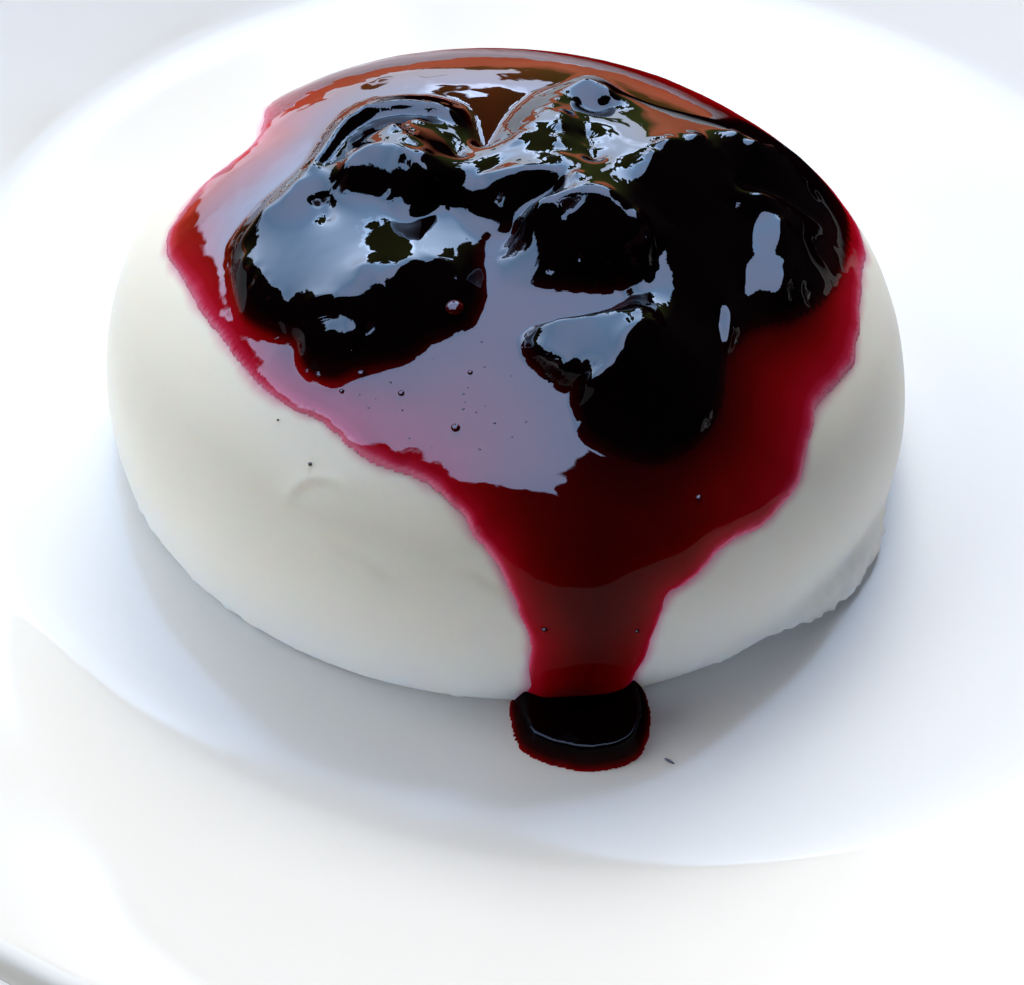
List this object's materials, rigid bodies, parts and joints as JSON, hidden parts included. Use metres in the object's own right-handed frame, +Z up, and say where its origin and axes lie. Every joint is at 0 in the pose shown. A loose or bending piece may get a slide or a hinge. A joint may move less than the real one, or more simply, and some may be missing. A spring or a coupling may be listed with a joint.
{
  "type": "panna cotta with berry sauce on a plate",
  "caption": "Domed panna cotta on a round dessert plate, topped with dark berry sauce and whole berries, with a drip down the front to a small pool.",
  "frame": {"origin": "middle of the plate at the bottom of its foot ring, on the table", "axes": "+Z up; the drip of sauce runs down the side that faces -Y"},
  "size_m": [0.2056, 0.2056, 0.0429],
  "materials": {
    "porcelain": "white glazed porcelain, smooth and glossy",
    "cream": "set cream, soft satin sheen, slightly translucent",
    "sauce": "thick wet berry sauce, clear and very glossy, pink where thin and nearly black where deep",
    "berry": "cooked dark berry skin, wet and glossy"
  },
  "bodies": {
    "root": {"plate": "porcelain", "panna_cotta": "cream", "sauce": "sauce", "berry_01": "berry", "berry_02": "berry", "berry_03": "berry", "berry_04": "berry", "berry_05": "berry", "berry_06": "berry", "berry_07": "berry", "berry_08": "berry", "berry_09": "berry", "berry_10": "berry", "berry_11": "berry", "berry_12": "berry", "berry_13": "berry", "berry_14": "berry", "berry_15": "berry", "berry_16": "berry", "berry_17": "berry", "berry_18": "berry"}
  },
  "joints": []
}
